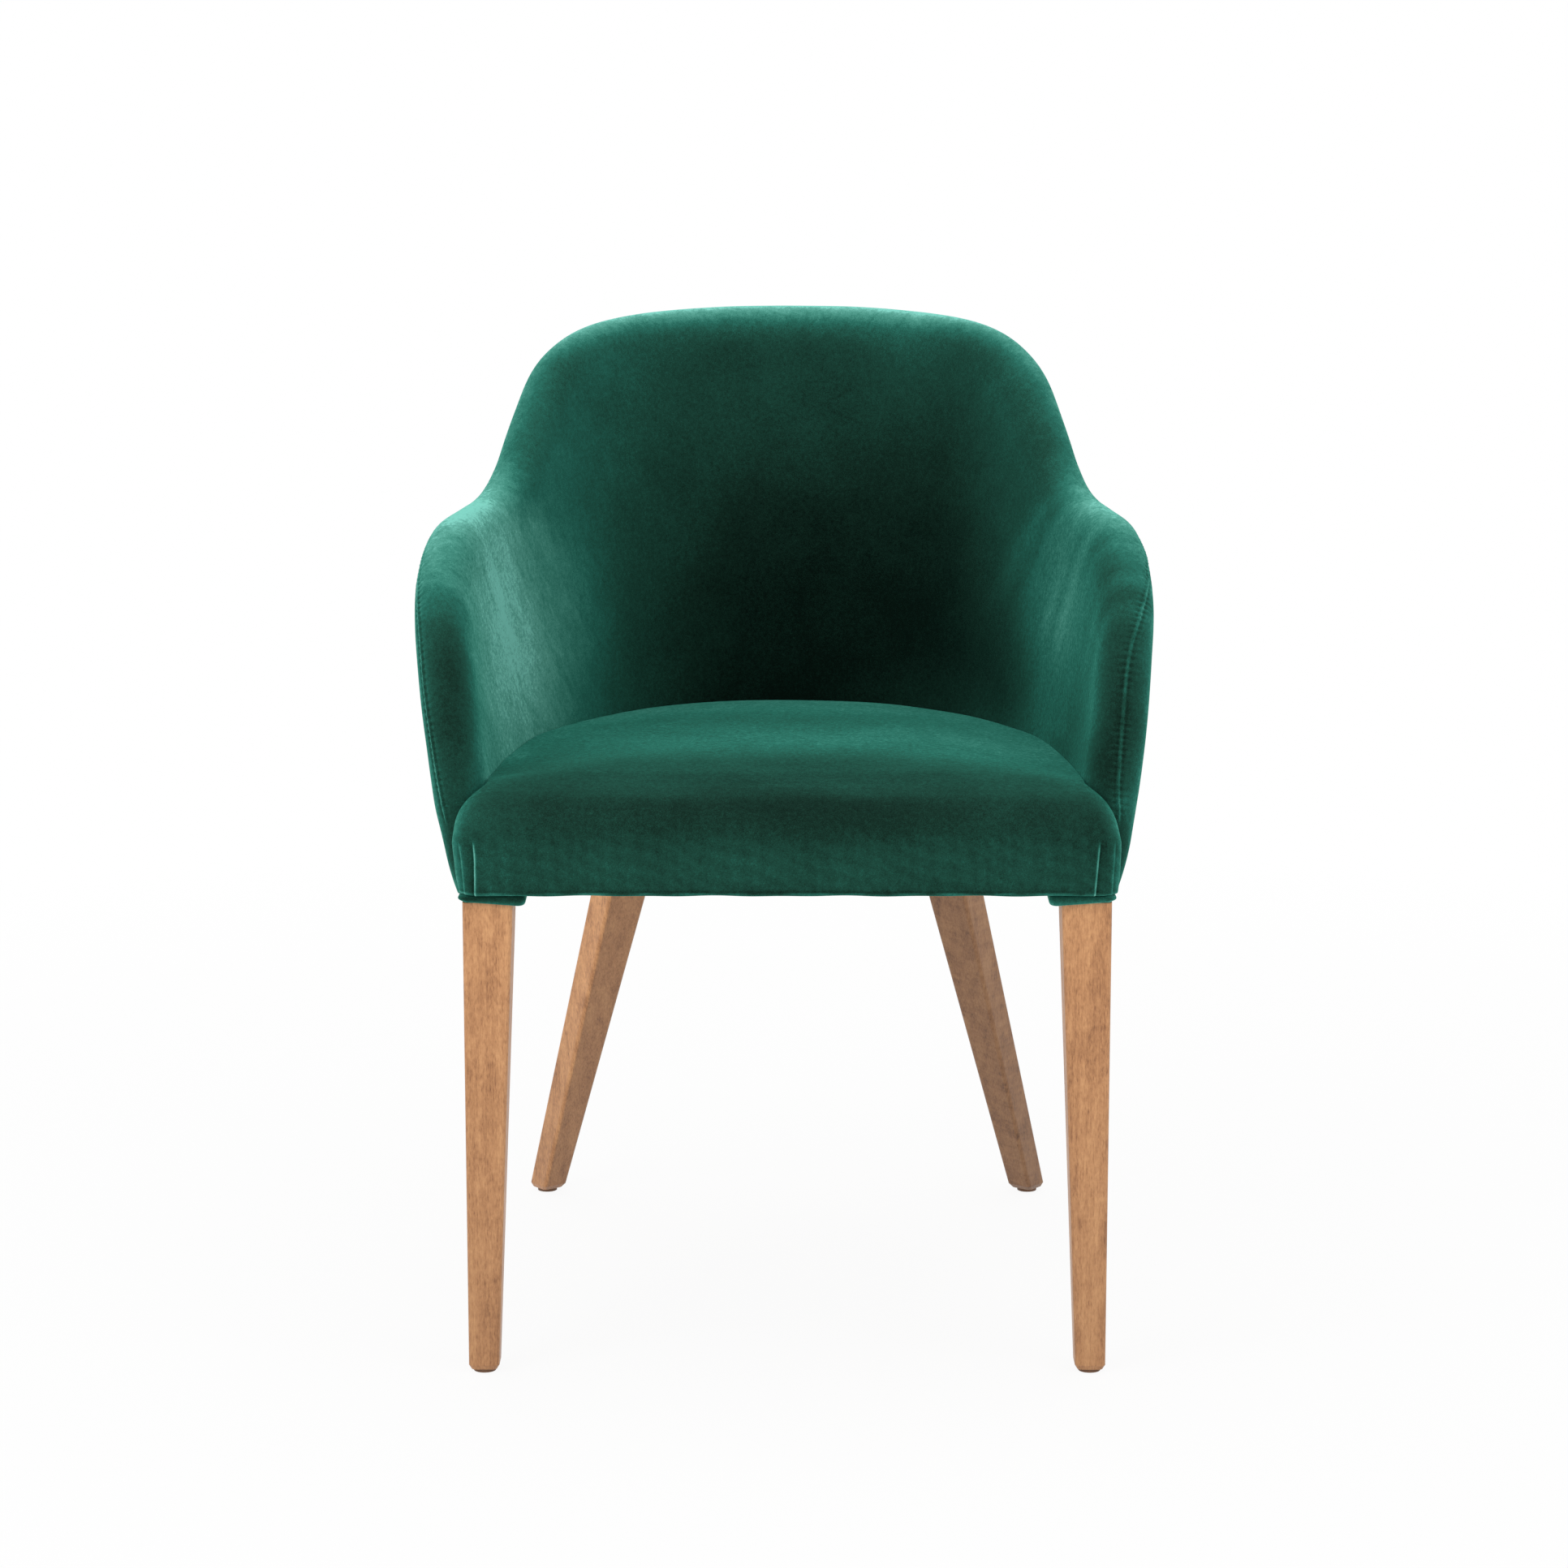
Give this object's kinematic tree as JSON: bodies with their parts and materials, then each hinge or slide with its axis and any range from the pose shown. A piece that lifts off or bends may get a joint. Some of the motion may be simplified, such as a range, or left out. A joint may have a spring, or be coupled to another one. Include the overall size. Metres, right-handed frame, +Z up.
{
  "type": "tub chair",
  "caption": "Upholstered tub chair: a velvet shell makes back and sloping arms in one, around a crowned seat, on tapered wooden legs.",
  "frame": {"origin": "on the floor, under the middle of the chair's overall width and depth", "axes": "+Z up, +X to the right of someone looking at the front of the chair, -Y the way the sitter faces"},
  "size_m": [0.6, 0.588, 0.8289],
  "materials": {
    "velvet": "deep emerald cotton velvet with a short directional nap",
    "foam": "open-cell upholstery foam",
    "padding": "polyester wadding",
    "plywood": "bent beech plywood, bare",
    "felt": "needled felt",
    "webbing": "woven elastic webbing",
    "dust_cloth": "non-woven polypropylene",
    "frame_wood": "planed solid beech, bare",
    "dowel_wood": "turned beech, bare",
    "leg_wood": "beech stained light walnut, satin lacquer",
    "steel": "zinc-plated",
    "nylon": "moulded nylon, matt"
  },
  "bodies": {
    "root": {"inside_cover": "velvet", "outside_cover": "velvet", "inside_foam": "foam", "outside_padding": "padding", "shell_core": "plywood", "seat_cover": "velvet", "seat_foam": "foam", "seat_felt": "felt", "webbing_cross": "webbing", "webbing_long": "webbing", "webbing_staples": "steel", "front_rail": "frame_wood", "rear_rail": "frame_wood", "side_rail_left": "frame_wood", "side_rail_right": "frame_wood", "corner_block_left": "frame_wood", "corner_block_right": "frame_wood", "block_screws": "steel", "frame_dowels": "dowel_wood", "shell_screws": "steel", "dust_cover": "dust_cloth", "dust_cover_staples": "steel", "front_pad_left": "velvet", "front_pad_right": "velvet", "front_leg_left": "leg_wood", "front_leg_right": "leg_wood", "rear_leg_left": "leg_wood", "rear_leg_right": "leg_wood", "leg_bolts": "steel", "leg_washers": "steel", "leg_nuts": "steel", "leg_glides": "nylon", "glide_nails": "steel"}
  },
  "joints": []
}
